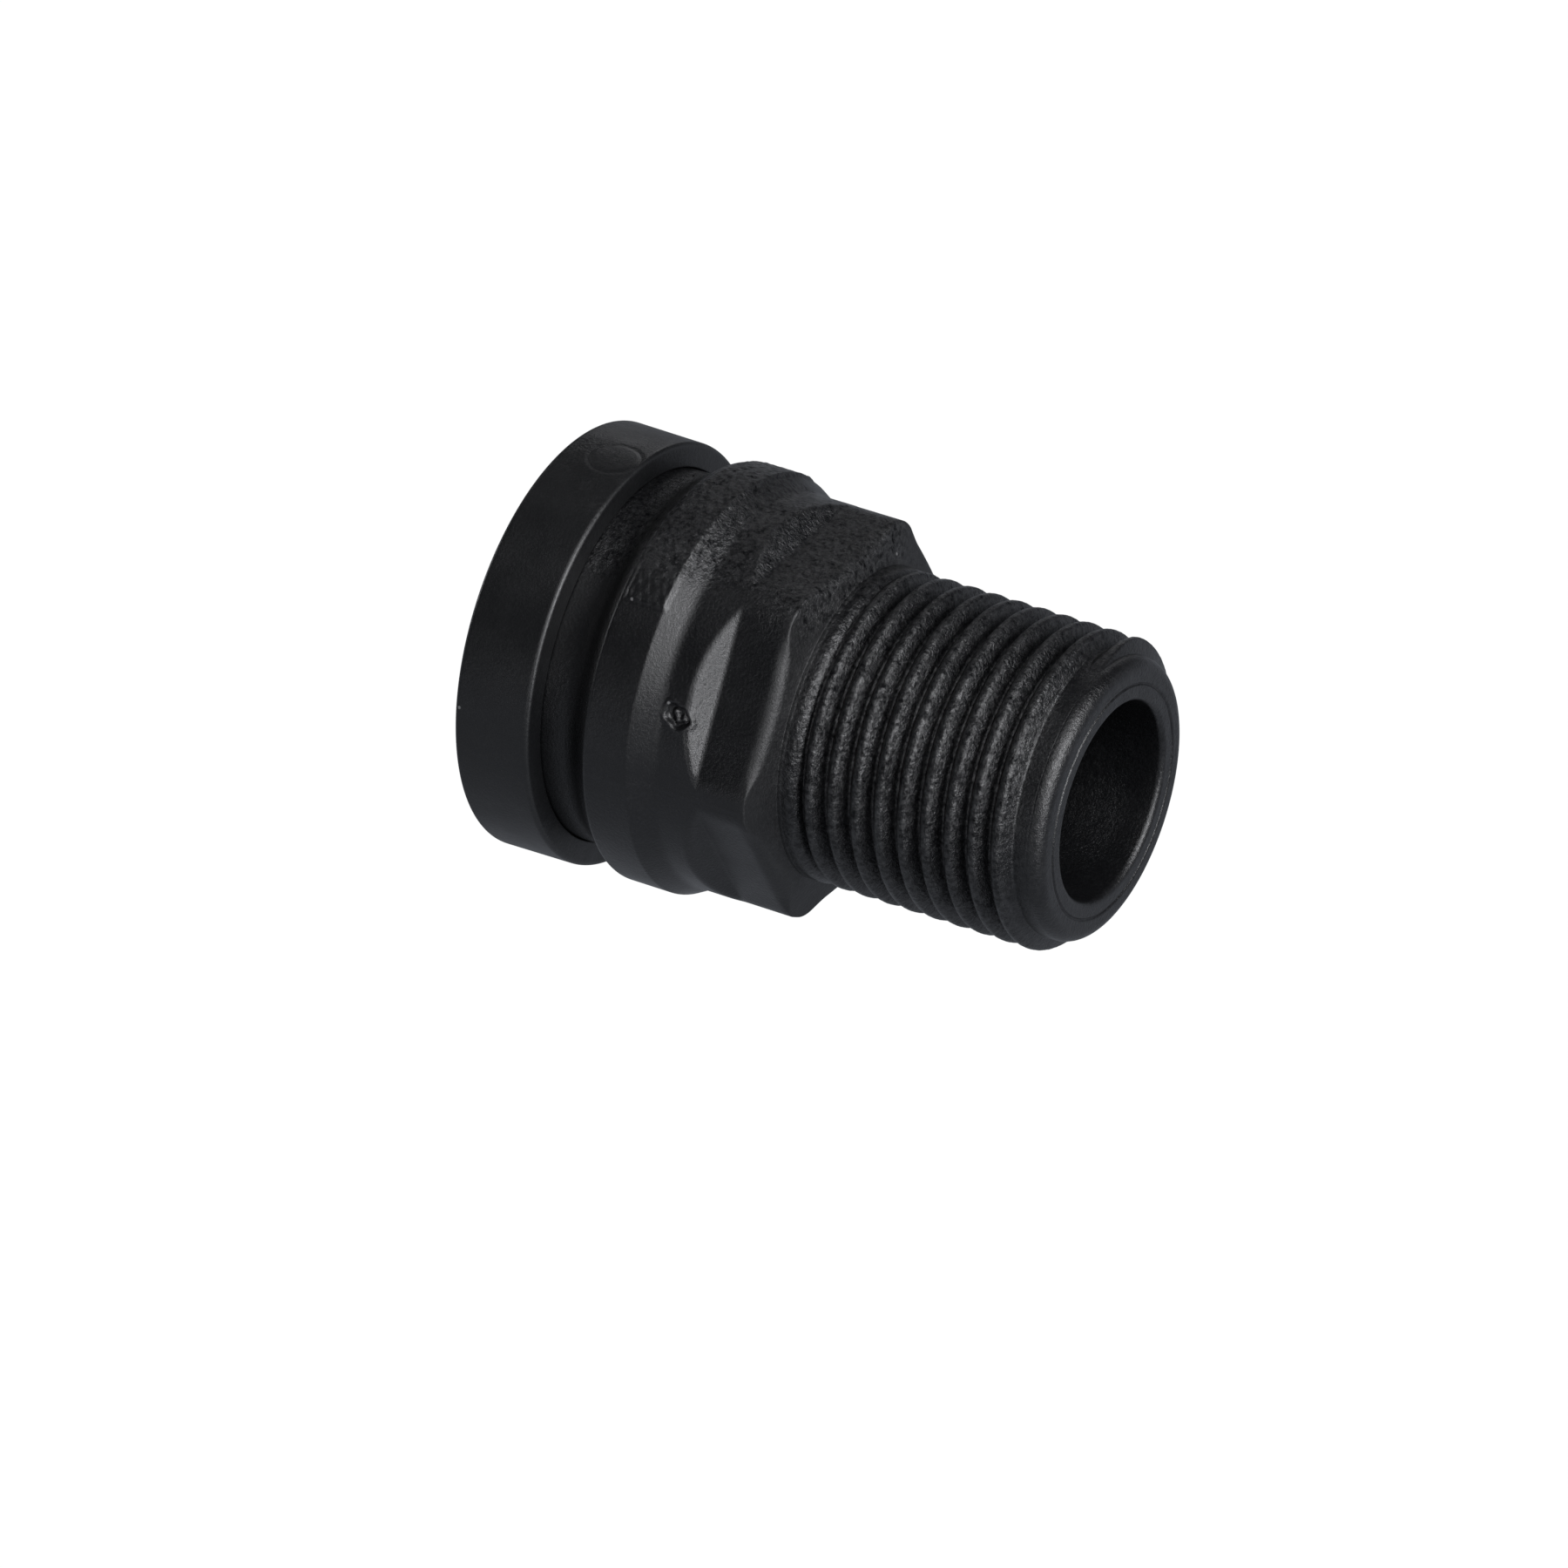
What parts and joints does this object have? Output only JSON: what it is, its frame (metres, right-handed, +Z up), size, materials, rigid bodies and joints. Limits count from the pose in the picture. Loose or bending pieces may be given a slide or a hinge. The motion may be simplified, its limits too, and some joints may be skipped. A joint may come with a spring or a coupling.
{
  "type": "pneumatic muffler",
  "caption": "Moulded pneumatic exhaust muffler: male port thread, wrench hexagon, collar with a blank label pad, lined chamber and a slotted end cap.",
  "frame": {"origin": "on the axis, in the plane of the shoulder that seats on the port, where the port thread starts", "axes": "+X along the axis from the cap to the threaded nose, +Z up, normal to one wrench flat and through the middle of the label pad, +Y completes a right-handed set"},
  "size_m": [0.0317, 0.0224, 0.0226],
  "materials": {
    "body_polymer": "satin black glass-filled polymer",
    "cap_polymer": "satin black moulded polymer",
    "baffle_polymer": "plain moulded, dark grey",
    "porous_polymer": "sintered polyethylene, open pores",
    "felt": "pressed wool felt",
    "gauze": "woven stainless wire"
  },
  "bodies": {
    "root": {"threaded_body": "body_polymer", "inlet_baffle": "baffle_polymer", "absorber_sleeve": "porous_polymer", "felt_pad": "felt", "outlet_screen": "gauze", "end_cap": "cap_polymer"}
  },
  "joints": []
}
